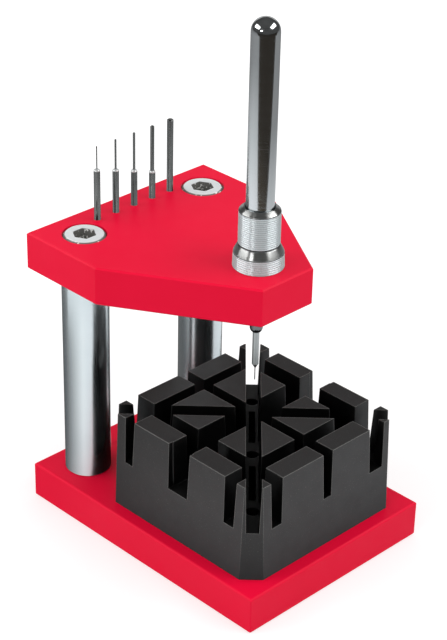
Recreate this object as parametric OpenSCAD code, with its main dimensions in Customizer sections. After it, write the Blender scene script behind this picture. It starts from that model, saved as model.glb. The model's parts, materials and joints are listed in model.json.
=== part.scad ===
// Column press for driving the pins of watch bracelets.
// Millimetres, +Z up. The origin is the centre of the base plate's underside.
// The columns stand at the back (+Y), the open throat faces the front (-Y).

/* [Plates] */
// Width of both plates
plate_w = 90; // [84:1:110]
// Length of the base plate, front to back
base_l = 120; // [110:1:140]
// Thickness of both plates
plate_t = 15; // [13:0.5:20]
// Clear height between the plates
throat_h = 86; // [78:1:110]
// Length of the top plate's straight sides, from the back edge
top_side_l = 38; // [34:1:44]
// Width of the top plate's nose edge
nose_edge_w = 25.6; // [22:0.2:34]
// Distance from the press axis to the nose edge
nose_reach = 15; // [13:0.5:20]
// Chamfer along the plates' edges
edge_chamfer = 0.6; // [0.3:0.1:1]
// Distance from the base's front edge to the press axis
axis_front = 45; // [44:1:52]

/* [Columns and screws] */
// Diameter of the columns
column_d = 17.8; // [17:0.1:22]
// Distance from a column's axis to the nearest side edges of the plates
column_inset = 15; // [13:0.5:18]
// Shank diameter of the column screws
screw_d = 10; // [8:0.5:11]
// Head diameter of the column screws
head_d = 15.8; // [15:0.1:17.5]
// Head height of the column screws
head_h = 9.6; // [8:0.1:10.5]
// Chamfer round the head's top
head_chamfer = 0.8; // [0.4:0.1:1.2]
// Width across the flats of the hexagon socket
hex_flats = 8; // [6:0.5:9]
// Depth of the hexagon socket
hex_depth = 4.5; // [3:0.5:6]
// Radial gap between a head and its counterbore
head_gap = 0.5; // [0.3:0.1:0.8]
// Depth at which the underside's screw heads lie below the face
head_sunk = 0.6; // [0.3:0.1:1]
// Height by which the top screw heads stand above the plate
head_proud = 0.2; // [0:0.1:1]
// Length of screw inside a column
screw_grip = 20; // [14:1:30]

/* [Guide bush] */
// Diameter of the bush's flange
flange_d = 18.9; // [17.6:0.1:22]
// Height of the flange
flange_h = 5.6; // [4:0.1:8]
// Height of the polished cone above the flange
flange_cone_h = 3.1; // [1.5:0.1:4]
// Diameter of the bush's barrel
barrel_d = 15.3; // [15:0.1:17]
// Height of the barrel above the cone
barrel_h = 13.1; // [11:0.1:18]
// Height of the cone that closes the barrel
crown_h = 1.6; // [1:0.1:2.5]
// Diameter at the top of that cone
crown_d = 11.4; // [10.8:0.1:13]
// Diameter of the part that sits in the top plate
spigot_d = 16; // [15.4:0.1:17.5]
// Thickness of the plate's web under the bush
web_t = 3; // [2:0.5:4]
// Diameter of the spring chamber
chamber_d = 13; // [12.6:0.1:13.4]

/* [Plunger] */
// Diameter of the rod
rod_d = 10.3; // [9:0.1:10.6]
// Length of rod that stands out of the bush
rod_out = 69.9; // [40:0.1:90]
// Diameter of the rod below its shoulder
stem_d = 7; // [6.6:0.1:8]
// Length of stem and nose below the top plate
nose_out = 12.9; // [11:0.1:18]
// Diameter of the nose that holds the punch
nose_d = 4.9; // [4.4:0.1:6]
// Length of the nose, round end included
nose_l = 5.4; // [4:0.1:7]
// Working travel of the rod, for which the spring chamber has room
travel = 20; // [12:1:21]
// Thickness of the ring that stops the rod at the top
ring_t = 1; // [0.8:0.1:1.4]
// Length of full-size rod below the ring
land_l = 1.5; // [1:0.1:2.5]
// Thickness of the washer under the rod's shoulder
washer_t = 0.8; // [0.6:0.1:1.2]
// Diameter of the screw that clamps the punch
clamp_screw_d = 3; // [2.5:0.1:3.5]

/* [Return spring] */
// Wire diameter
wire_d = 0.8; // [0.6:0.05:0.9]
// Mean diameter of the coil
coil_d = 10.4; // [10:0.1:11]
// Number of turns
coil_turns = 5; // [4:0.5:6]

/* [Punches] */
// Shank diameter of every punch
punch_d = 2.5; // [2:0.1:3]
// Overall length of every punch
punch_l = 40; // [36:0.5:46]
// Length of shank inside the rod
punch_seat = 20; // [14:0.5:22]
// Tip diameter of the mounted punch
mounted_tip_d = 0.4; // [0.4:0.1:2]
// Tip length of the mounted punch
mounted_tip_l = 5.1; // [4:0.1:10]
// Length of the cone between shank and mounted tip
mounted_cone_l = 1.8; // [1:0.1:3]
// Depth of the holes for the spare punches
rack_depth = 10.4; // [8:0.1:12]
// Distance between the spare punches
rack_pitch = 9.2; // [8:0.1:9.4]
// Distance from the top plate's back edge to the spare punches
rack_inset = 9; // [7:0.5:11]

/* [Bracelet block] */
// Width of the block at its foot
block_w = 79; // [75:1:84]
// Height of the block
block_h = 39; // [34:1:44]
// How far each side leans in from foot to top
block_draft = 1.5; // [0:0.1:2.5]
// Size of the flats on the block's corners, at the foot
block_corner = 6.2; // [5:0.1:9]
// Height of the slots' floor above the block's foot
floor_h = 20; // [15:0.5:24]
// Distance from the middle to the outer slots
slot_offset = 26.5; // [25:0.1:27]
// How much wider a slot is at its top than at its floor
slot_flare = 1; // [0:0.1:1.4]
// Diameter of the holes that let the pins drop
drop_d = 5; // [4:0.1:6]
// Width of the grooves in the diagonal slots
groove_w = 2.4; // [1.6:0.1:3]
// Depth of those grooves
groove_depth = 10; // [4:0.5:14]

/* [Fits] */
// Radial clearance of the rod and the punches in their bores
running = 0.05; // [0.02:0.01:0.1]
// Radial clearance of screws and bush in their holes
seated = 0.05; // [0.02:0.01:0.1]
// Radial clearance of the ring and the washer in the spring chamber
chamber_gap = 0.3; // [0.2:0.05:0.5]

/* [Hidden] */

// Facets on round parts, and on the spring's coil and wire
round_fn = 96;
coil_steps = 12;
wire_sides = 6;
// Overlap that cuts need past a face
past = 1;

// Tip diameter and tip length of the spare punches, from left to right; the last is plain
spare_tips = [[0.5, 9.4], [0.8, 12.2], [1.0, 15.3], [1.6, 18.5], [punch_d, 0]];

// Slots across the block as [offset, floor width]: first those that run
// front to back, then those that run side to side
lengthwise_slots = [[-slot_offset, 5], [0, 4], [slot_offset, 7]];
crosswise_slots = [[-slot_offset, 5], [0, 9.4], [slot_offset, 4]];
// Diagonal slots as [direction, floor width]
diagonal_slots = [[45, 4.7], [-45, 5.6]];
// The widest slot is relieved at its two mouths
mouth_relief = 0.3;
mouth_depth = 1.8;
// The grooves lie between the middle hole and the corner holes
groove_start = 8;
groove_end = slot_offset * sqrt(2) - 7;

// Heights of the frame
base_top = plate_t;
top_under = base_top + throat_h;
top_face = top_under + plate_t;

// Places in the plates
press_y = axis_front - base_l / 2;
column_x = plate_w / 2 - column_inset;
column_y = base_l / 2 - column_inset;
rack_y = base_l / 2 - rack_inset;
nose_y = press_y - nose_reach;
counterbore_d = head_d + 2 * head_gap;
screw_hole_d = screw_d + 2 * seated;

// Heights of the bush
bush_foot = top_under + web_t;
barrel_top = top_face + flange_h + flange_cone_h + barrel_h;
bush_top = barrel_top + crown_h;
// The chamber holds the closed spring, the travel and what rides above the spring
closed_spring_h = (coil_turns + 1) * wire_d + 0.9;
chamber_top = bush_foot + closed_spring_h + travel + washer_t + land_l + ring_t;

// Heights of the plunger, with its ring against the bush's collar
ring_under = chamber_top - ring_t;
shoulder = ring_under - land_l;
washer_under = shoulder - washer_t;
rod_top = bush_top + rod_out;
rod_end = top_under - nose_out;
nose_top = rod_end + nose_l;
ring_d = chamber_d - 2 * chamber_gap;
ring_opening = 6;
ring_groove_depth = 0.7;
groove_d = rod_d - 2 * ring_groove_depth;
clamp_z = (nose_top + top_under) / 2;
clamp_sunk = 0.3;
clamp_hex_flats = 1.5;
clamp_hex_depth = 1;

// The punch shank ends at its seat inside the rod
punch_top = rod_end + punch_seat;
punch_bore_d = punch_d + 2 * running;
// Bevels at a punch's foot and between its shank and its tip
foot_bevel = 0.3;
shoulder_bevel = 0.5;

// A plate with the given outline and thickness, its edges chamfered
module slab(outline, t) {
    hull() {
        translate([0, 0, edge_chamfer])
            linear_extrude(t - 2 * edge_chamfer)
                polygon(outline);
        linear_extrude(t)
            offset(delta = -edge_chamfer)
                polygon(outline);
    }
}

// A cylinder along Z between two heights
module rod_between(z0, z1, d) {
    translate([0, 0, z0])
        cylinder(h = z1 - z0, d = d, $fn = round_fn);
}

// Its children at both column axes
module at_column(side) {
    translate([side * column_x, column_y, 0])
        children();
}

module at_press_axis() {
    translate([0, press_y, 0])
        children();
}

module base_plate() {
    outline = [[-plate_w / 2, -base_l / 2], [plate_w / 2, -base_l / 2],
               [plate_w / 2, base_l / 2], [-plate_w / 2, base_l / 2]];
    color([0.86, 0.04, 0.14])
        difference() {
            slab(outline, plate_t);
            for (side = [-1, 1])
                at_column(side) {
                    rod_between(-past, plate_t + past, screw_hole_d);
                    rod_between(-past, head_h + head_sunk, counterbore_d);
                }
        }
}

module top_plate() {
    side_y = base_l / 2 - top_side_l;
    outline = [[-plate_w / 2, base_l / 2], [-plate_w / 2, side_y], [-nose_edge_w / 2, nose_y],
               [nose_edge_w / 2, nose_y], [plate_w / 2, side_y], [plate_w / 2, base_l / 2]];
    color([0.86, 0.04, 0.14])
        difference() {
            translate([0, 0, top_under])
                slab(outline, plate_t);
            for (side = [-1, 1])
                at_column(side) {
                    rod_between(top_under - past, top_face + past, screw_hole_d);
                    rod_between(top_face + head_proud - head_h, top_face + past, counterbore_d);
                }
            at_press_axis() {
                rod_between(top_under - past, top_face, stem_d + 2 * running);
                rod_between(bush_foot, top_face + past, spigot_d + 2 * seated);
            }
            for (i = [0 : len(spare_tips) - 1])
                translate([rack_x(i), rack_y, 0])
                    rod_between(top_face - rack_depth, top_face + past, punch_bore_d);
        }
}

// A column, tapped at both ends for its screws
module column(side) {
    bevel = 0.4;
    color([0.75, 0.78, 0.8])
        at_column(side)
            difference() {
                union() {
                    rod_between(base_top, base_top + bevel, column_d - 2 * bevel);
                    rod_between(base_top + bevel, top_under - bevel, column_d);
                    rod_between(top_under - bevel, top_under, column_d - 2 * bevel);
                }
                rod_between(base_top - past, base_top + screw_grip + 2, screw_hole_d);
                rod_between(top_under - screw_grip - 2, top_under + past, screw_hole_d);
            }
}

// A socket head screw that points down, the top of its head at height 0
module socket_screw(length) {
    color([0.72, 0.74, 0.76])
        difference() {
            rotate_extrude($fn = round_fn)
                polygon([[0, 0], [head_d / 2 - head_chamfer, 0], [head_d / 2, -head_chamfer],
                         [head_d / 2, -head_h], [screw_d / 2, -head_h],
                         [screw_d / 2, -head_h - length], [0, -head_h - length]]);
            translate([0, 0, -hex_depth])
                cylinder(h = hex_depth + past, d = hex_flats / cos(30), $fn = 6);
        }
}

module top_screw(side) {
    at_column(side)
        translate([0, 0, top_face + head_proud])
            socket_screw(plate_t + head_proud - head_h + screw_grip);
}

module base_screw(side) {
    at_column(side)
        translate([0, 0, head_sunk])
            mirror([0, 0, 1])
                socket_screw(plate_t - head_sunk - head_h + screw_grip);
}

// The flanged bush that guides the rod and houses the spring
module guide_bush() {
    color([0.8, 0.83, 0.85])
        at_press_axis()
            difference() {
                rotate_extrude($fn = round_fn)
                    polygon([[0, bush_foot], [spigot_d / 2, bush_foot], [spigot_d / 2, top_face],
                             [flange_d / 2, top_face], [flange_d / 2 - 0.2, top_face + flange_h],
                             [barrel_d / 2, top_face + flange_h + flange_cone_h],
                             [barrel_d / 2, barrel_top], [crown_d / 2, bush_top], [0, bush_top]]);
                rod_between(bush_foot - past, chamber_top, chamber_d);
                rod_between(chamber_top - past, bush_top + past, rod_d + 2 * running);
            }
}

// The rod: dome, ring groove, shoulder, stem and the round nose with its socket
module plunger_rod() {
    color([0.75, 0.78, 0.8])
        at_press_axis()
            difference() {
                union() {
                    rod_between(shoulder, rod_top - rod_d / 2, rod_d);
                    translate([0, 0, rod_top - rod_d / 2])
                        sphere(d = rod_d, $fn = round_fn);
                    rod_between(nose_top, shoulder, stem_d);
                    rod_between(rod_end + nose_d / 2, nose_top, nose_d);
                    translate([0, 0, rod_end + nose_d / 2])
                        sphere(d = nose_d, $fn = round_fn);
                }
                difference() {
                    rod_between(ring_under, chamber_top, rod_d + past);
                    rod_between(ring_under - past, chamber_top + past, groove_d);
                }
                rod_between(rod_end - past, punch_top, punch_bore_d);
                translate([0, 0, clamp_z])
                    rotate([90, 0, 0])
                        cylinder(h = stem_d, d = clamp_screw_d + 2 * seated, $fn = round_fn);
            }
}

// The open ring in the rod's groove, which meets the bush's collar
module stop_ring() {
    color([0.35, 0.36, 0.38])
        at_press_axis()
            difference() {
                rod_between(ring_under, chamber_top, ring_d);
                rod_between(ring_under - past, chamber_top + past, groove_d + 2 * seated);
                translate([-ring_opening / 2, 0, ring_under - past])
                    cube([ring_opening, ring_d, ring_t + 2 * past]);
            }
}

module spring_washer() {
    color([0.6, 0.62, 0.64])
        at_press_axis()
            difference() {
                rod_between(washer_under, shoulder, ring_d);
                rod_between(washer_under - past, shoulder + past, stem_d + 4 * running);
            }
}

// The coil's centre line: straight at both ends, a helix between
coil_h = washer_under - bush_foot;
coil_rise = coil_h - 2 * wire_d;
coil_count = coil_turns * coil_steps;
function on_coil(i) = [coil_d / 2 * cos(360 * i / coil_steps), coil_d / 2 * sin(360 * i / coil_steps),
                       wire_d + coil_rise * i / coil_count];
coil_line = concat([[coil_d / 2, 0, 0]],
                   [for (i = [0 : coil_count]) on_coil(i)],
                   [on_coil(coil_count) + [0, 0, wire_d]]);

function unit(v) = v / norm(v);
// Direction of the line at point i, along its neighbours, and upright at its two ends
function line_dir(line, i) =
    i == 0 || i == len(line) - 1
        ? [0, 0, 1]
        : unit(unit(line[i + 1] - line[i]) + unit(line[i] - line[i - 1]));
// A ring of points round the line at point i
function wire_ring(line, i) =
    let (dir = line_dir(line, i),
         out = unit([line[i][0], line[i][1], 0]),
         side = unit(cross(dir, out)),
         outward = cross(side, dir))
    [for (s = [0 : wire_sides - 1])
        line[i] + wire_d / 2 * (cos(360 * s / wire_sides) * outward + sin(360 * s / wire_sides) * side)];

// Gap between neighbouring turns, measured on the points of the centre line
turn_gaps = [for (i = [0 : coil_count - coil_steps])
                norm(on_coil(i + coil_steps) - on_coil(i)) - wire_d];
echo(least_gap_in_spring = min(turn_gaps));

module return_spring() {
    rings = [for (i = [0 : len(coil_line) - 1]) wire_ring(coil_line, i)];
    last = (len(rings) - 1) * wire_sides;
    points = [for (ring = rings) for (p = ring) p];
    walls = [for (r = [0 : len(rings) - 2], s = [0 : wire_sides - 1])
                let (a = r * wire_sides + s, b = r * wire_sides + (s + 1) % wire_sides)
                for (face = [[a, a + wire_sides, b], [b, a + wire_sides, b + wire_sides]]) face];
    ends = [for (s = [1 : wire_sides - 2])
               for (face = [[0, s, s + 1], [last, last + s + 1, last + s]]) face];
    color([0.55, 0.57, 0.6])
        at_press_axis()
            translate([0, 0, bush_foot])
                polyhedron(points, concat(walls, ends));
}

// The headless screw in the stem, its point close to the punch
module clamp_screw() {
    point = punch_d / 2 + running;
    head = stem_d / 2 - clamp_sunk;
    color([0.3, 0.31, 0.33])
        at_press_axis()
            translate([0, 0, clamp_z])
                rotate([90, 0, 0])
                    difference() {
                        rod_between(point, head, clamp_screw_d);
                        translate([0, 0, head - clamp_hex_depth])
                            cylinder(h = clamp_hex_depth + past, d = clamp_hex_flats / cos(30), $fn = 6);
                    }
}

// A punch that stands on height 0 with its tip up
module punch(tip_d, tip_l, cone_l) {
    shank_l = punch_l - tip_l - cone_l;
    end_bevel = min(foot_bevel, tip_d / 4);
    shoulder = tip_l > 0 ? [[punch_d / 2, shank_l], [tip_d / 2, shank_l + cone_l]] : [];
    color([0.5, 0.52, 0.54])
        rotate_extrude($fn = round_fn)
            polygon(concat([[0, 0], [punch_d / 2 - foot_bevel, 0], [punch_d / 2, foot_bevel]],
                           shoulder,
                           [[tip_d / 2, punch_l - end_bevel], [tip_d / 2 - end_bevel, punch_l],
                            [0, punch_l]]));
}

module mounted_punch() {
    at_press_axis()
        translate([0, 0, punch_top])
            mirror([0, 0, 1])
                punch(mounted_tip_d, mounted_tip_l, mounted_cone_l);
}

// The spare punches stand in a row, the middle one on the centre line
function rack_x(i) = (i - (len(spare_tips) - 1) / 2) * rack_pitch;

module spare_punch(i) {
    translate([rack_x(i), rack_y, top_face - rack_depth])
        punch(spare_tips[i][0], spare_tips[i][1], shoulder_bevel);
}

// A bar along X whose section is a trapezoid
module tapered_bar(length, foot_w, top_w, h) {
    rotate([90, 0, 90])
        translate([0, 0, -length / 2])
            linear_extrude(length)
                polygon([[-foot_w / 2, 0], [foot_w / 2, 0], [top_w / 2, h], [-top_w / 2, h]]);
}

// The cut of a slot along X, from the block's floor up past its top
module slot_cut(floor_w, length = 2 * block_w) {
    over = past / (block_h - floor_h);
    translate([0, 0, floor_h])
        tapered_bar(length, floor_w, floor_w + slot_flare * (1 + over), block_h - floor_h + past);
}

module slot_cuts() {
    for (slot = crosswise_slots)
        translate([0, slot[0], 0])
            slot_cut(slot[1]);
    for (slot = lengthwise_slots)
        translate([slot[0], 0, 0])
            rotate([0, 0, 90])
                slot_cut(slot[1]);
    for (slot = diagonal_slots)
        rotate([0, 0, slot[0]])
            slot_cut(slot[1]);
}

// The block's drafted sides, and flats on its corners
module block_body() {
    across_corners = (2 * block_w - 2 * block_corner) / sqrt(2);
    intersection_for(turn = [0, 45, 90, 135]) {
        foot_w = turn % 90 == 0 ? block_w : across_corners;
        draft = turn % 90 == 0 ? 2 * block_draft : sqrt(2) * block_draft;
        rotate([0, 0, turn])
            tapered_bar(2 * block_w, foot_w, foot_w - draft, block_h);
    }
}

// The widest slot is a little wider at its two mouths
module mouth_reliefs() {
    for (side = [-1, 1])
        translate([side * (block_w / 2 - block_draft - mouth_depth / 2 + past), 0, 0])
            slot_cut(crosswise_slots[1][1] + 2 * mouth_relief, mouth_depth + 2 * past);
}

// Holes where the outer slots cross and one in the middle, and grooves between
module drop_holes() {
    for (place = [[-1, -1], [-1, 1], [0, 0], [1, -1], [1, 1]])
        translate(slot_offset * place)
            rod_between(-past, floor_h + past, drop_d);
    for (turn = [45 : 90 : 315])
        rotate([0, 0, turn])
            translate([groove_start, -groove_w / 2, floor_h - groove_depth])
                cube([groove_end - groove_start, groove_w, groove_depth + past]);
}

// The moulded block that holds the bracelet upright under the punch
module bracelet_block() {
    color([0.12, 0.12, 0.13])
        translate([0, press_y, base_top])
            difference() {
                block_body();
                slot_cuts();
                mouth_reliefs();
                drop_holes();
            }
}

base_plate();
top_plate();
column(-1);  // left_column
column(1);  // right_column
top_screw(-1);  // left_top_screw
top_screw(1);  // right_top_screw
base_screw(-1);  // left_base_screw
base_screw(1);  // right_base_screw
guide_bush();
plunger_rod();
stop_ring();
spring_washer();
return_spring();
clamp_screw();
mounted_punch();
spare_punch(0);  // spare_punch_1
spare_punch(1);  // spare_punch_2
spare_punch(2);  // spare_punch_3
spare_punch(3);  // spare_punch_4
spare_punch(4);  // spare_punch_5
bracelet_block();
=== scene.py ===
"""The looks of the column press for watch-bracelet pins: finishes, edges, studio and camera.

Everything is in metres, in the row's frame: +Z up, the open throat towards -Y. Sizes of the press are
written in millimetres and turned into metres by MM, and those of the studio are written in metres.
"""
import json
from math import cos, pi, radians, sin

import bmesh
import bpy
from mathutils import Matrix, Quaternion, Vector


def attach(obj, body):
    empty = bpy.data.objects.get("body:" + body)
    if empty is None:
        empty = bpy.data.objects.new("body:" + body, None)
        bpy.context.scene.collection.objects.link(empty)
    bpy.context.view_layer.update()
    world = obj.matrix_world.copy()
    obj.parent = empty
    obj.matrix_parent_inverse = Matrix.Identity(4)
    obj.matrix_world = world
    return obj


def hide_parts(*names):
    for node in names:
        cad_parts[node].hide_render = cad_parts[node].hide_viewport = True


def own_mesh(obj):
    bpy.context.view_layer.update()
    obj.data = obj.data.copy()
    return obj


MM = 0.001
PRESS_AXIS = Vector((0, -15, 0)) * MM
# The dome of the rod, which shows where the lamps stand
DOME_HEIGHT = 204.0
# Height halfway between the upper and the lower screws, and how far from it the faces of their heads lie
SCREWS_MIDDLE = 58.4
HEAD_FACES = 57.8
# Height at rest of the rod's shoulder, inside the bush, below which the rod is its thinner stem
ROD_SHOULDER = 130.5
# Heights between which the painted shade on the faces of the block lifts, away from the base
BLOCK_DARK = 15
BLOCK_LIGHT = 36

# The camera, solved from straight edges in the photograph
CAMERA_AZIMUTH = radians(-45.077)
CAMERA_ELEVATION = radians(29.350)
CAMERA_ROLL = radians(1.312)
CAMERA_PLACE = Vector((-441.03, -437.93, 436.48)) * MM
CAMERA_LENS = 108.645
IMAGE_LONG_SIDE = 36.0
# Level directions from the press towards the camera, and to the camera's right
TOWARDS_CAMERA = Vector((sin(CAMERA_AZIMUTH), -cos(CAMERA_AZIMUTH), 0))
RIGHTWARDS = Vector((cos(CAMERA_AZIMUTH), sin(CAMERA_AZIMUTH), 0))

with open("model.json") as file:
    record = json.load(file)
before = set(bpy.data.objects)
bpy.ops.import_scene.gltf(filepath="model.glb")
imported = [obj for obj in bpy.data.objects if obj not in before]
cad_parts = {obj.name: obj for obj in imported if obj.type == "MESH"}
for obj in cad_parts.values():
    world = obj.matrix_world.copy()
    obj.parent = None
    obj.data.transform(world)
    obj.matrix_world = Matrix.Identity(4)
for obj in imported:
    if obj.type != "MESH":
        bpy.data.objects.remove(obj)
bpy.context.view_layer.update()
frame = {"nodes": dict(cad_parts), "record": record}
nodes = frame["nodes"]


# Finishes

class Finish:
    """A Principled material and the few procedural nodes that its pattern needs."""

    def __init__(self, name, **constants):
        self.material = bpy.data.materials.new(name)
        self.material.use_nodes = True
        self.tree = self.material.node_tree
        self.shader = self.tree.nodes["Principled BSDF"]
        for socket, value in constants.items():
            self.shader.inputs[socket.replace("_", " ")].default_value = value
        self.normal = None

    def add(self, kind, **settings):
        node = self.tree.nodes.new(kind)
        for name, value in settings.items():
            setattr(node, name, value)
        return node

    def link(self, source, target):
        self.tree.links.new(source, target)

    def place(self, stretch=(1, 1, 1)):
        """Coordinates in the piece's own space, stretched along its axes."""
        mapping = self.add("ShaderNodeMapping")
        mapping.inputs["Scale"].default_value = stretch
        self.link(self.add("ShaderNodeTexCoord").outputs["Object"], mapping.inputs["Vector"])
        return mapping.outputs["Vector"]

    def noise(self, grain_mm, stretch=(1, 1, 1), detail=3.0):
        """Noise whose grains are about grain_mm wide where the stretch is 1."""
        texture = self.add("ShaderNodeTexNoise")
        texture.inputs["Scale"].default_value = 1 / (grain_mm * MM)
        texture.inputs["Detail"].default_value = detail
        self.link(self.place(stretch), texture.inputs["Vector"])
        return texture.outputs["Fac"]

    def spread(self, value, low, high, from_low=0.3, from_high=0.7):
        """The value moved from one range to another, and kept inside it."""
        node = self.add("ShaderNodeMapRange", clamp=True)
        node.inputs["From Min"].default_value = from_low
        node.inputs["From Max"].default_value = from_high
        node.inputs["To Min"].default_value = low
        node.inputs["To Max"].default_value = high
        self.link(value, node.inputs["Value"])
        return node.outputs["Result"]

    def blend(self, value, first, second):
        """A colour between two others."""
        node = self.add("ShaderNodeMix", data_type="RGBA")
        node.inputs["A"].default_value = (*first, 1)
        node.inputs["B"].default_value = (*second, 1)
        self.link(value, node.inputs["Factor"])
        return node.outputs["Result"]

    def mix(self, value, first, second):
        """A colour between two colours that are worked out by other nodes."""
        node = self.add("ShaderNodeMix", data_type="RGBA")
        self.link(value, node.inputs["Factor"])
        self.link(first, node.inputs["A"])
        self.link(second, node.inputs["B"])
        return node.outputs["Result"]

    def math(self, operation, first, second=0.0):
        """The result of an operation on two values, each of them a socket or a number."""
        node = self.add("ShaderNodeMath", operation=operation)
        for value, target in zip((first, second), node.inputs):
            if isinstance(value, (int, float)):
                target.default_value = value
            else:
                self.link(value, target)
        return node.outputs[0]

    def measure(self, operation, first, second):
        """A number from two vectors, the first a socket and the second fixed."""
        node = self.add("ShaderNodeVectorMath", operation=operation)
        self.link(first, node.inputs[0])
        node.inputs[1].default_value = second
        return node.outputs["Value"]

    def height(self):
        """Height above the bench at rest, in metres."""
        split = self.add("ShaderNodeSeparateXYZ")
        self.link(self.place(), split.inputs[0])
        return split.outputs["Z"]

    def exposure(self, reach_mm):
        """1 on open faces and less where other faces stand close by."""
        node = self.add("ShaderNodeAmbientOcclusion", samples=8)
        node.inputs["Distance"].default_value = reach_mm * MM
        return node.outputs["AO"]

    def soften_edges(self, radius_mm):
        """Shades sharp edges as if they were rounded, and gives 1 on them and 0 on the flat faces.

        What tells them apart is the cosine of the angle between the rounded and the flat surface.
        """
        node = self.add("ShaderNodeBevel", samples=6)
        node.inputs["Radius"].default_value = radius_mm * MM
        self.normal = node.outputs["Normal"]
        agreement = self.add("ShaderNodeVectorMath", operation="DOT_PRODUCT")
        self.link(self.normal, agreement.inputs[0])
        self.link(self.add("ShaderNodeNewGeometry").outputs["Normal"], agreement.inputs[1])
        return self.spread(agreement.outputs["Value"], 1, 0, 0.86, 0.99)

    def bump(self, height, depth_mm, strength=1.0):
        """Relief of that depth, on top of any relief that was added before."""
        node = self.add("ShaderNodeBump")
        node.inputs["Strength"].default_value = strength
        node.inputs["Distance"].default_value = depth_mm * MM
        self.link(height, node.inputs["Height"])
        if self.normal:
            self.link(self.normal, node.inputs["Normal"])
        self.normal = node.outputs["Normal"]
        self.link(self.normal, self.shader.inputs["Normal"])

    def drive(self, socket, value):
        self.link(value, self.shader.inputs[socket])


def red_paint():
    """Semi-gloss powder coat with a slight orange peel."""
    finish = Finish("red_powder_coat", IOR=1.45, Specular_IOR_Level=0.12)
    clouds = finish.noise(28, detail=2)
    finish.drive("Base Color", finish.blend(clouds, (0.80, 0.003, 0.034), (0.85, 0.004, 0.042)))
    finish.drive("Roughness", finish.spread(finish.noise(9), 0.36, 0.44))
    finish.bump(finish.noise(1.6, detail=1), 0.02, 0.35)
    finish.bump(finish.noise(0.25, detail=2), 0.004, 0.3)
    return finish.material


def polished_steel():
    """Ground and polished rod: faint rings round the axis, and a darker stem below its shoulder."""
    finish = Finish("polished_steel", Metallic=1.0)
    smears = finish.noise(14, detail=3)
    above_shoulder = finish.spread(finish.height(), 0, 1, (ROD_SHOULDER - 1) * MM, ROD_SHOULDER * MM)
    stem = finish.blend(smears, (0.13, 0.135, 0.14), (0.22, 0.225, 0.23))
    rod = finish.blend(smears, (0.66, 0.69, 0.70), (0.74, 0.76, 0.77))
    finish.drive("Base Color", finish.mix(above_shoulder, stem, rod))
    rings = finish.noise(0.35, stretch=(0.03, 0.03, 1), detail=4)
    finish.drive("Roughness", finish.spread(rings, 0.07, 0.15))
    finish.bump(rings, 0.001, 0.3)
    return finish.material


def satin_steel():
    """Centreless-ground columns: softer than the rod, with fine rings round the axis."""
    finish = Finish("satin_ground_steel", Metallic=1.0)
    smears = finish.noise(18, detail=3)
    finish.drive("Base Color", finish.blend(smears, (0.67, 0.74, 0.76), (0.76, 0.82, 0.84)))
    rings = finish.noise(0.3, stretch=(0.02, 0.02, 1), detail=5)
    finish.drive("Roughness", finish.spread(rings, 0.20, 0.26))
    finish.bump(rings, 0.002, 0.35)
    return finish.material


def lathe_turned(name, metallic, dark, light, smooth, rough):
    """Steel as it leaves the lathe: rings round the axis, and painted shade in the grooves.

    Its reflections are drawn out across the rings.
    """
    finish = Finish(name, Metallic=metallic, Anisotropic=0.9, Anisotropic_Rotation=0.25)
    rings = finish.noise(0.5, stretch=(0.01, 0.01, 1), detail=3)
    # The grooves, where other faces stand close by, are painted darker as shade
    out_of_grooves = finish.spread(finish.exposure(0.6), 0, 1, 0.6, 0.95)
    painted_groove_shade = finish.blend(rings, (0.30, 0.33, 0.34), (0.42, 0.45, 0.46))
    finish.drive("Base Color", finish.mix(out_of_grooves, painted_groove_shade, finish.blend(rings, dark, light)))
    finish.drive("Roughness", finish.spread(rings, smooth, rough))
    finish.bump(rings, 0.002, 0.4)
    around = finish.add("ShaderNodeTangent", direction_type="RADIAL", axis="Z")
    finish.drive("Tangent", around.outputs["Tangent"])
    return finish.material


def turned_steel():
    """Turned flanks of the bush, slightly frosted."""
    return lathe_turned("turned_steel", metallic=0.6, dark=(0.82, 0.91, 0.94), light=(0.93, 0.98, 0.99),
                        smooth=0.34, rough=0.42)


def bright_steel():
    """Finely turned cones of the bush."""
    return lathe_turned("bright_turned_steel", metallic=1.0, dark=(0.56, 0.57, 0.56),
                        light=(0.72, 0.73, 0.72), smooth=0.28, rough=0.31)


def plated_steel():
    """Satin zinc plate on the screws: pale on the faces of the heads, and painted shade with bright specks
    below them.
    """
    finish = Finish("zinc_plated_steel", Metallic=0.4)
    mottle = finish.noise(1.5, detail=4)
    specks = finish.spread(finish.noise(1.2, detail=2), 0, 1, 0.58, 0.64)
    face = finish.blend(mottle, (0.86, 0.90, 0.91), (0.95, 0.97, 0.97))
    # Below the faces of the heads, in the sockets and on the sides, the colour is painted shade flecked
    # with bright specks
    painted_shade_with_specks = finish.blend(specks, (0.20, 0.20, 0.185), (0.97, 0.97, 0.94))
    from_middle = finish.math("ABSOLUTE", finish.math("SUBTRACT", finish.height(), SCREWS_MIDDLE * MM))
    on_face = finish.spread(from_middle, 0, 1, (HEAD_FACES - 0.30) * MM, (HEAD_FACES - 0.08) * MM)
    finish.drive("Base Color", finish.mix(on_face, painted_shade_with_specks, face))
    finish.drive("Roughness", finish.spread(mottle, 0.62, 0.72))
    finish.bump(finish.noise(0.3, detail=3), 0.004, 0.4)
    return finish.material


def punch_steel(name, dark, light, smooth, rough, metallic=1.0):
    """Hardened steel, ground round, with faint streaks along it."""
    finish = Finish(name, Metallic=metallic)
    streaks = finish.noise(0.8, stretch=(1, 1, 0.03), detail=2)
    finish.drive("Base Color", finish.blend(streaks, dark, light))
    rings = finish.noise(0.6, stretch=(0.05, 0.05, 1), detail=2)
    finish.drive("Roughness", finish.spread(rings, smooth, rough))
    return finish.material


def spring_steel():
    """Bright drawn wire."""
    finish = Finish("spring_wire", Metallic=1.0)
    streaks = finish.noise(0.8, detail=4)
    finish.drive("Base Color", finish.blend(streaks, (0.45, 0.45, 0.47), (0.6, 0.6, 0.61)))
    finish.drive("Roughness", finish.spread(streaks, 0.2, 0.35))
    return finish.material


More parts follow.
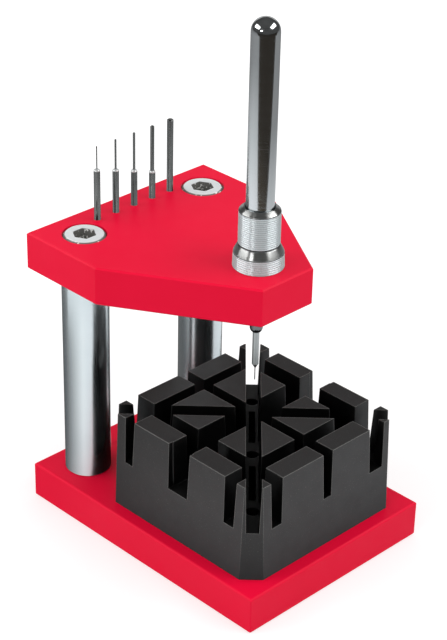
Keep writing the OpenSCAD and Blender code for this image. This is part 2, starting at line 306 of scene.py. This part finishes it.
def black_steel():
    """Blackened steel of the clamp screw and the stop ring, also used as painted shade in the bush's fine
    grooves.
    """
    finish = Finish("blackened_steel", Metallic=1.0)
    mottle = finish.noise(0.7, detail=4)
    finish.drive("Base Color", finish.blend(mottle, (0.05, 0.05, 0.055), (0.12, 0.12, 0.125)))
    finish.drive("Roughness", finish.spread(mottle, 0.3, 0.5))
    return finish.material


def black_plastic():
    """Matt moulded plastic with a fine spark-eroded grain, painted shade deep in it and towards the base,
    and painted highlights on its edges.
    """
    finish = Finish("black_moulded_plastic", IOR=1.5, Specular_IOR_Level=0.36)
    # Painted highlights on the sharp edges
    painted_edge_highlight = finish.soften_edges(0.5)
    # Painted shade where other faces stand close by, as in the slots
    out_of_slots = finish.spread(finish.exposure(22), 0, 1, 0.66, 0.98)
    # Painted shade that lifts away from the base
    above_base = finish.spread(finish.height(), 0.25, 1, BLOCK_DARK * MM, BLOCK_LIGHT * MM)
    dust = finish.spread(finish.noise(0.4, detail=1), 0, 0.3, 0.68, 0.74)
    dust_and_edge_highlights = finish.math("MAXIMUM", dust, painted_edge_highlight)
    open_faces = finish.blend(dust_and_edge_highlights, (0.023, 0.022, 0.022), (0.20, 0.20, 0.19))
    # The colour of the painted shade, with dust
    slots = finish.blend(dust, (0.001, 0.001, 0.001), (0.012, 0.012, 0.012))
    exposed = finish.math("MULTIPLY", out_of_slots, above_base)
    finish.drive("Base Color", finish.mix(exposed, slots, open_faces))
    finish.drive("Roughness", finish.spread(finish.noise(5), 0.34, 0.44))
    finish.bump(finish.noise(0.5, detail=2), 0.03, 0.25)
    finish.bump(finish.noise(0.16, detail=2), 0.01, 0.35)
    return finish.material


FINISH_OF_SLOT = {
    "red_paint": red_paint(),
    "polished_steel": polished_steel(),
    "turned_steel": turned_steel(),
    "plated_screw": plated_steel(),
    "punch_steel": punch_steel("hardened_punch_steel", (0.03, 0.032, 0.03), (0.34, 0.345, 0.34),
                               smooth=0.20, rough=0.25),
    "spring_steel": spring_steel(),
    "black_steel": black_steel(),
    "black_plastic": black_plastic(),
}
FINISH_OF_NODE = {
    "left_column": satin_steel(),
    "mounted_punch": punch_steel("bright_punch_steel", (0.34, 0.36, 0.36), (0.60, 0.63, 0.63),
                                 smooth=0.29, rough=0.33),
}
FINISH_OF_NODE["right_column"] = FINISH_OF_NODE["left_column"]


def dress_all():
    """Every CAD node gets the finish of its slot, or its own."""
    for part in frame["record"]["subparts"]:
        name = part["node"]
        materials = nodes[name].data.materials
        materials.clear()
        materials.append(FINISH_OF_NODE.get(name, FINISH_OF_SLOT[part["material_slot"]]))


# Edges

# How far each node's sharp edges are rounded, in millimetres
EDGE_OF_NODE = {
    "base_plate": 0.4,
    "top_plate": 0.4,
    "bracelet_block": 0.45,
    "left_top_screw": 0.15,
    "right_top_screw": 0.15,
    "left_base_screw": 0.15,
    "right_base_screw": 0.15,
    "mounted_punch": 0.12,
    "spare_punch_5": 0.2,
}
# Edges between faces at more than this angle, in degrees, are sharp
SHARP_ANGLE = 30
# Points within this distance of each other are one, in millimetres, in a solid and in a turned piece
SAME_POINT = 0.001
SAME_TURNED_POINT = 0.0001


def round_edges(piece, width_mm):
    """Joins the faces of a solid and rounds the sharp edges between them."""
    weld = piece.modifiers.new("weld", "WELD")
    weld.merge_threshold = SAME_POINT * MM
    bevel = piece.modifiers.new("edges", "BEVEL")
    bevel.width = width_mm * MM
    bevel.segments = 2
    bevel.limit_method = "ANGLE"
    bevel.angle_limit = radians(SHARP_ANGLE)
    bevel.use_clamp_overlap = True
    bevel.miter_outer = "MITER_ARC"
    normals = piece.modifiers.new("normals", "WEIGHTED_NORMAL")
    normals.keep_sharp = True


# Guide bush

# Corners of the bush's section: radius and height in millimetres, and whether the flank after the corner
# has feed marks
BUSH_SECTION = [
    (6.5, 104.0, False),
    (8.0, 104.0, False),
    (8.0, 116.0, False),
    (9.45, 116.0, True),
    (9.25, 121.4, False),
    (9.05, 121.5, False),
    (9.2, 121.7, False),
    (7.7, 124.6, False),
    (7.35, 124.7, False),
    (7.35, 125.2, False),
    (7.65, 125.3, True),
    (7.65, 137.5, False),
    (7.45, 137.65, False),
    (7.6, 137.85, False),
    (5.8, 139.4, False),
    (5.2, 138.6, False),
    (5.2, 133.0, False),
    (6.5, 133.0, False),
]
# Heights between which the cone of the flange lies, and above which the crown does
CONE_FOOT = 121.4
CONE_TOP = 124.9
CROWN_FOOT = 137.6
# Heights between which each fine groove at the edge of a cone lies, painted dark as shade
SHADED_GROOVES = [(121.38, 121.6), (124.7, 125.15), (137.5, 137.78)]
# Width and depth of a feed mark in millimetres, and how many points draw it
FEED = 0.77
FEED_DEPTH = 0.26
FEED_STEPS = 6
# How much of each corner is rounded off, in millimetres
LIP = 0.2
# Flat faces round the bush
BUSH_SIDES = 128


def corner_arc(before, corner, after, cut, steps=3):
    """A small arc in place of a corner of an outline."""
    start = corner + (before - corner).normalized() * min(cut, (before - corner).length / 2)
    end = corner + (after - corner).normalized() * min(cut, (after - corner).length / 2)
    shares = [step / steps for step in range(steps + 1)]
    return [(1 - t) ** 2 * start + 2 * t * (1 - t) * corner + t ** 2 * end for t in shares]


def feed_marks(start, end):
    """Points along a turned flank, in and out once for each turn of the work."""
    count = FEED_STEPS * round((end - start).length / FEED)
    inward = Vector((-FEED_DEPTH / 2, 0))
    points = []
    for i in range(1, count):
        points.append(start.lerp(end, i / count) + inward * (1 - cos(2 * pi * i / FEED_STEPS)))
    return points


def turned_outline(section):
    """The outline of a section with its corners rounded and its feed marks cut."""
    corners = [Vector((radius, height)) for radius, height, marked in section]
    count = len(corners)
    arcs = [corner_arc(corners[i - 1], corners[i], corners[(i + 1) % count], LIP) for i in range(count)]
    outline = []
    for i in range(count):
        outline += arcs[i]
        if section[i][2]:
            outline += feed_marks(arcs[i][-1], arcs[(i + 1) % count][0])
    return outline


def lathe(name, outline, materials, axis, sides):
    """A closed outline of radius and height, turned round an upright axis."""
    work = bmesh.new()
    rings = []
    for side in range(sides):
        angle = 2 * pi * side / sides
        rings.append([work.verts.new(axis + Vector((p.x * cos(angle), p.x * sin(angle), p.y)) * MM)
                      for p in outline])
    for side in range(sides):
        here, there = rings[side], rings[(side + 1) % sides]
        for i in range(len(outline)):
            if outline[i - 1].x > 0 or outline[i].x > 0:
                work.faces.new((here[i - 1], there[i - 1], there[i], here[i])).smooth = True
    bmesh.ops.remove_doubles(work, verts=work.verts, dist=SAME_TURNED_POINT * MM)
    bmesh.ops.recalc_face_normals(work, faces=work.faces)
    mesh = bpy.data.meshes.new(name)
    work.to_mesh(mesh)
    work.free()
    for material in materials:
        mesh.materials.append(material)
    piece = bpy.data.objects.new(name, mesh)
    bpy.context.scene.collection.objects.link(piece)
    return piece


def guide_bush():
    """The bush with feed marks on its flanks, smooth cones, and fine grooves at the cones' edges painted
    dark as shade.
    """
    materials = [FINISH_OF_SLOT["turned_steel"], bright_steel(), FINISH_OF_SLOT["black_steel"]]
    piece = lathe("turned_bush", turned_outline(BUSH_SECTION), materials, PRESS_AXIS, BUSH_SIDES)
    for face in piece.data.polygons:
        height = face.center.z / MM
        if height > CROWN_FOOT or CONE_FOOT < height < CONE_TOP:
            face.material_index = 1
        # Faces in the fine grooves take the blackened steel as painted shade
        if any(low < height < high for low, high in SHADED_GROOVES):
            face.material_index = 2
    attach(piece, "frame")
    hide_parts("guide_bush")


# Spare punches

# Radius of the shank, and of the tip of each punch that has one, in millimetres
SHANK = 1.25
TIPS = [0.25, 0.4, 0.5, 0.8]
# How far inside the shank's radius its outermost points are looked for
SHANK_MARGIN = 0.1
# Height of the round shoulder, how many faces draw it, and the bevel of the foot
SHOULDER_HEIGHT = 0.75
SHOULDER_STEPS = 6
FOOT_BEVEL = 0.3
# Short faces this long at both ends of a long one keep its shading straight
HOLD = 0.05
# Flat faces round a punch
PUNCH_SIDES = 48


def heights(solid, least_radius=0.0):
    """The axis of a round solid, and the lowest and highest of its points outside that radius."""
    corners = [solid.matrix_world @ Vector(corner) for corner in solid.bound_box]
    middle = sum(corners, Vector()) / len(corners)
    points = [solid.matrix_world @ vertex.co for vertex in solid.data.vertices]
    found = [p.z / MM for p in points if (p.xy - middle.xy).length >= least_radius * MM]
    return Vector((middle.x, middle.y, 0)), min(found), max(found)


def spare_punch(number, tip, materials):
    """A ground punch whose shank ends in a round shoulder below the tip, its colour there a painted
    highlight.
    """
    name = f"spare_punch_{number}"
    axis, foot, end = heights(nodes[name])
    shank_top = heights(nodes[name], SHANK - SHANK_MARGIN)[2]
    tip_bevel = min(FOOT_BEVEL, tip / 2)
    shoulder_top = shank_top + SHOULDER_HEIGHT
    round_shoulder = []
    for step in range(SHOULDER_STEPS + 1):
        angle = pi / 2 * step / SHOULDER_STEPS
        round_shoulder.append((tip + (SHANK - tip) * cos(angle), shank_top + SHOULDER_HEIGHT * sin(angle)))
    outline = [(0, foot), (SHANK - FOOT_BEVEL, foot), (SHANK, foot + FOOT_BEVEL),
               (SHANK, foot + FOOT_BEVEL + HOLD), (SHANK, shank_top - HOLD), *round_shoulder,
               (tip, shoulder_top + HOLD), (tip, end - tip_bevel - HOLD), (tip, end - tip_bevel),
               (tip - tip_bevel, end), (0, end)]
    outline = [Vector(point) for point in outline]
    piece = lathe(f"ground_punch_{number}", outline, materials, axis, PUNCH_SIDES)
    # The shoulder's faces take the second finish, whose pale colour is a painted highlight
    for face in piece.data.polygons:
        if shank_top < face.center.z / MM < shoulder_top:
            face.material_index = 1
    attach(piece, name)
    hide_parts(name)


def spare_punches():
    """The four spare punches that have a tip."""
    # A pale steel for the shoulders, as a painted highlight
    shoulder_highlight_steel = punch_steel("painted_shoulder_highlight", (0.84, 0.88, 0.88), (0.96, 0.98, 0.98),
                                 smooth=0.29, rough=0.33, metallic=0.6)
    for number, tip in enumerate(TIPS, 1):
        spare_punch(number, tip, [FINISH_OF_SLOT["punch_steel"], shoulder_highlight_steel])


# Return spring


def return_spring():
    """A copy of the spring that the rod closes as it goes down."""
    solid = nodes["return_spring"]
    piece = bpy.data.objects.new("closing_spring", solid.data.copy())
    bpy.context.scene.collection.objects.link(piece)
    piece.matrix_world = solid.matrix_world
    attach(piece, "frame")
    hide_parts("return_spring")
    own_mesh(piece)


# Studio

# Lengths are in metres, and places are given ahead of the press axis and to the camera's right of it.
# How far the bench reaches to each side
BENCH_REACH = 6.0
# Strength of the light that the surroundings give
FILL_LIGHT = 0.64
# The place that fading starts from
FADE_MIDDLE = (0, -0.05)
# Levels of the cards that lie on the bench, one above another
SHEET_LEVEL = 0.0005
SHADE_LEVEL = 0.001
FAN_LEVEL = 0.0012
# Where the room ends: ahead of the press, behind it, to each side and above
ROOM_FRONT = 2.2
ROOM_BACK = -2.6
ROOM_SIDE = 2.6
ROOM_TOP = 1.7
# Half the width of the backdrop, its height, and how far it stands from the back wall
BACKDROP_SIDE = 1.3
BACKDROP_TOP = 1.3
BACKDROP_GAP = 0.1
# How far ahead of the press the dark bench begins, and how much nearer for each metre to the right
BENCH_EDGE = 0.245
BENCH_SLANT = 0.27
# Corners of the shaded part of the sheet, behind the press and to its left
SHADED_CORNERS = [(-0.080, 0.040), (-0.062, -0.060), (-0.020, -0.110), (-0.020, -0.260),
                  (-0.260, -0.260), (-0.260, 0.040)]
# The foot of the left column, and how far the fan of painted shade reaches round it
COLUMN_FOOT = (-0.021, -0.064)
FAN_REACH = 0.16
# Directions of the fan's corners round the foot, in degrees: 0 to the left and 90 ahead
FAN_ANGLES = range(-60, 91, 15)
# Directions between which the fan gets lighter, and how slowly it begins to
FAN_DARK = -40
FAN_LIGHT = 75
FAN_POWER = 1.6


def plane(name, corners, material):
    """A flat part of the stage."""
    mesh = bpy.data.meshes.new(name)
    mesh.from_pydata([tuple(corner) for corner in corners], [], [tuple(range(len(corners)))])
    mesh.materials.append(material)
    piece = bpy.data.objects.new(name, mesh)
    bpy.context.scene.collection.objects.link(piece)
    return piece


def only_in_reflections(piece):
    piece.visible_camera = False
    piece.visible_diffuse = False
    piece.visible_shadow = False
    piece.visible_transmission = False
    piece.visible_volume_scatter = False


def matt_finish(name):
    """A matt finish, its colour still to be set."""
    return Finish(name, Roughness=0.9, Specular_IOR_Level=0.0)


def grey(name, value):
    """A matt grey."""
    finish = matt_finish(name)
    finish.shader.inputs["Base Color"].default_value = (value, value, value, 1)
    return finish.material


def seen_rays(tree):
    """1 for rays that show the background: to the camera, in reflections and through glass."""
    rays = tree.nodes.new("ShaderNodeLightPath")
    value = rays.outputs["Is Camera Ray"]
    for name in ("Is Glossy Ray", "Is Transmission Ray"):
        either = tree.nodes.new("ShaderNodeMath")
        either.operation = "MAXIMUM"
        tree.links.new(value, either.inputs[0])
        tree.links.new(rays.outputs[name], either.inputs[1])
        value = either.outputs[0]
    return value


def bench():
    """A plain pale floor that reads as white and keeps the shadow."""
    finish = matt_finish("pale_floor")
    finish.shader.inputs["Base Color"].default_value = (0.6, 0.6, 0.6, 1)
    finish.shader.inputs["Emission Color"].default_value = (1, 1, 1, 1)
    distance = finish.measure("DISTANCE", finish.place(), (0, 0, 0))
    glow = finish.spread(distance, low=0.50, high=0.64, from_low=0.10, from_high=0.60)
    finish.drive("Emission Strength", finish.math("MULTIPLY", seen_rays(finish.tree), glow))
    corners = [(-1, -1, 0), (1, -1, 0), (1, 1, 0), (-1, 1, 0)]
    plane("bench", [Vector(corner) * BENCH_REACH for corner in corners], finish.material)


def from_press(ahead, aside, height):
    """A point by its distance from the press axis towards the camera and to the camera's right."""
    return PRESS_AXIS + TOWARDS_CAMERA * ahead + RIGHTWARDS * aside + Vector((0, 0, height))


def fading(name, near_mm, near_colour, far_mm, far_colour):
    """A matt colour that fades into another away from the press, as a painted pool of light round it."""
    finish = matt_finish(name)
    distance = finish.measure("DISTANCE", finish.place(), from_press(*FADE_MIDDLE, 0))
    far = finish.spread(distance, 0, 1, near_mm * MM, far_mm * MM)
    finish.drive("Base Color", finish.blend(far, near_colour, far_colour))
    return finish.material


def turning(name, foot, dark, light):
    """A matt colour that gets lighter round a foot, from behind it over its left to ahead of it: painted
    shade lifting round the foot.
    """
    finish = matt_finish(name)
    offset = finish.add("ShaderNodeVectorMath", operation="SUBTRACT")
    finish.link(finish.place(), offset.inputs[0])
    offset.inputs[1].default_value = from_press(*foot, 0)
    ahead = finish.measure("DOT_PRODUCT", offset.outputs["Vector"], TOWARDS_CAMERA)
    leftwards = finish.measure("DOT_PRODUCT", offset.outputs["Vector"], -RIGHTWARDS)
    angle = finish.math("ARCTAN2", ahead, leftwards)
    turned = finish.spread(angle, 0, 1, radians(FAN_DARK), radians(FAN_LIGHT))
    finish.drive("Base Color", finish.blend(finish.math("POWER", turned, FAN_POWER), dark, light))
    return finish.material


def card(name, material, corners):
    """A flat card that only reflections show, its corners given from the press."""
    only_in_reflections(plane(name, [from_press(*corner) for corner in corners], material))


def level_card(name, material, corners, level):
    """A card over an outline on the floor, at that level."""
    card(name, material, [(*corner, level) for corner in corners])


def wall(name, material, start, end, height):
    """An upright card over a line on the floor."""
    card(name, material, [(*start, 0), (*end, 0), (*end, height), (*start, height)])


def fan_corners():
    """The foot of the left column, and an arc round it from behind it over its left to ahead of it."""
    corners = [COLUMN_FOOT]
    for degrees in FAN_ANGLES:
        angle = radians(degrees)
        corners.append((COLUMN_FOOT[0] + FAN_REACH * sin(angle), COLUMN_FOOT[1] - FAN_REACH * cos(angle)))
    return corners


def cards():
    """What polished metal sees: a fading sheet, a dark bench before it, a pale backdrop and a dim room."""
    back_left, back_right = (ROOM_BACK, -ROOM_SIDE), (ROOM_BACK, ROOM_SIDE)
    front_left, front_right = (ROOM_FRONT, -ROOM_SIDE), (ROOM_FRONT, ROOM_SIDE)
    room = [back_left, back_right, front_right, front_left]
    dark_part = [(BENCH_EDGE + BENCH_SLANT * ROOM_SIDE, -ROOM_SIDE),
                 (BENCH_EDGE - BENCH_SLANT * ROOM_SIDE, ROOM_SIDE), front_right, front_left]
    # The sheet and the dark bench fade away from the press: a painted pool of light
    sheet = fading("fading_sheet", near_mm=200, near_colour=(0.90, 0.93, 0.95),
                   far_mm=440, far_colour=(0.25, 0.255, 0.26))
    dark = fading("dark_bench", near_mm=230, near_colour=(0.10, 0.085, 0.065),
                  far_mm=380, far_colour=(0.03, 0.026, 0.022))
    # The fan round the left column's foot is painted shade
    fan = turning("turning_sheet", COLUMN_FOOT, (0.13, 0.135, 0.14), (0.94, 0.96, 0.97))
    dim = grey("dim_card", 0.12)
    level_card("sheet", sheet, room, SHEET_LEVEL)
    level_card("dark_bench", dark, dark_part, SHADE_LEVEL)
    level_card("shaded_sheet", grey("shade_card", 0.14), SHADED_CORNERS, SHADE_LEVEL)
    level_card("fan", fan, fan_corners(), FAN_LEVEL)
    level_card("ceiling", grey("ceiling_card", 0.15), room, ROOM_TOP)
    wall("front_wall", dim, front_left, front_right, ROOM_TOP)
    wall("left_wall", dim, front_left, back_left, ROOM_TOP)
    wall("right_wall", dim, front_right, back_right, ROOM_TOP)
    wall("back_wall", dim, back_left, back_right, ROOM_TOP)
    backdrop = ROOM_BACK + BACKDROP_GAP
    wall("backdrop", grey("pale_card", 0.85), (backdrop, -BACKDROP_SIDE), (backdrop, BACKDROP_SIDE),
         BACKDROP_TOP)


def softbox(name, direction, watts, distance, length, width, tilt=0):
    """A lamp in that direction from the dome of the rod, turned towards it.

    Its length lies level with the bench, but for the tilt in degrees.
    """
    lamp = bpy.data.lights.new(name, "AREA")
    lamp.shape = "RECTANGLE"
    lamp.size = length
    lamp.size_y = width
    lamp.energy = watts
    piece = bpy.data.objects.new(name, lamp)
    bpy.context.scene.collection.objects.link(piece)
    away = Vector(direction).normalized()
    piece.location = PRESS_AXIS + Vector((0, 0, DOME_HEIGHT * MM)) + away * distance
    turn = away.to_track_quat("Z", "Y") @ Quaternion((0, 0, 1), radians(tilt))
    piece.rotation_euler = turn.to_euler()
    return piece


def lamps():
    """Two softboxes beside the press, a small lamp left of the camera, and a fill without a reflection."""
    softbox("left_softbox", (-0.661, 0.568, 0.490), 4.8, distance=1.1, length=0.95, width=0.34, tilt=12)
    softbox("right_softbox", (0.465, -0.627, 0.625), 5.8, distance=1.1, length=1.05, width=0.36, tilt=-4)
    softbox("front_lamp", (-0.930, -0.157, 0.330), 1.4, distance=1.1, length=0.26, width=0.10)
    fill = softbox("low_fill", (-0.64, -0.64, 0.42), 1.2, distance=1.3, length=1.2, width=0.8)
    fill.visible_glossy = False


def surroundings():
    """White for what sees it, and a softer level as light on the object."""
    world = bpy.data.worlds.new("studio")
    bpy.context.scene.world = world
    world.use_nodes = True
    tree = world.node_tree
    tree.nodes.clear()
    mix = tree.nodes.new("ShaderNodeMixShader")
    tree.links.new(seen_rays(tree), mix.inputs[0])
    for strength, target in zip((FILL_LIGHT, 1.0), mix.inputs[1:]):
        background = tree.nodes.new("ShaderNodeBackground")
        background.inputs["Color"].default_value = (1, 1, 1, 1)
        background.inputs["Strength"].default_value = strength
        tree.links.new(background.outputs[0], target)
    out = tree.nodes.new("ShaderNodeOutputWorld")
    tree.links.new(mix.outputs[0], out.inputs["Surface"])


# Camera

def camera():
    back = Vector((sin(CAMERA_AZIMUTH) * cos(CAMERA_ELEVATION),
                   -cos(CAMERA_AZIMUTH) * cos(CAMERA_ELEVATION), sin(CAMERA_ELEVATION)))
    up = back.cross(RIGHTWARDS)
    turn = Matrix((RIGHTWARDS, up, back)).transposed() @ Matrix.Rotation(CAMERA_ROLL, 3, "Z")
    lens = bpy.data.cameras.new("camera")
    lens.sensor_fit = "AUTO"
    lens.sensor_width = IMAGE_LONG_SIDE
    lens.lens = CAMERA_LENS
    lens.clip_start = 0.01
    piece = bpy.data.objects.new("camera", lens)
    bpy.context.scene.collection.objects.link(piece)
    piece.matrix_world = Matrix.Translation(CAMERA_PLACE) @ turn.to_4x4()
    bpy.context.scene.camera = piece


dress_all()
guide_bush()
return_spring()
spare_punches()
for name, width in EDGE_OF_NODE.items():
    round_edges(nodes[name], width)
# The metal in the photograph shows no red
for name in ("base_plate", "top_plate"):
    nodes[name].visible_glossy = False
bench()
cards()
lamps()
surroundings()
camera()
bpy.context.scene.view_settings.view_transform = "Standard"
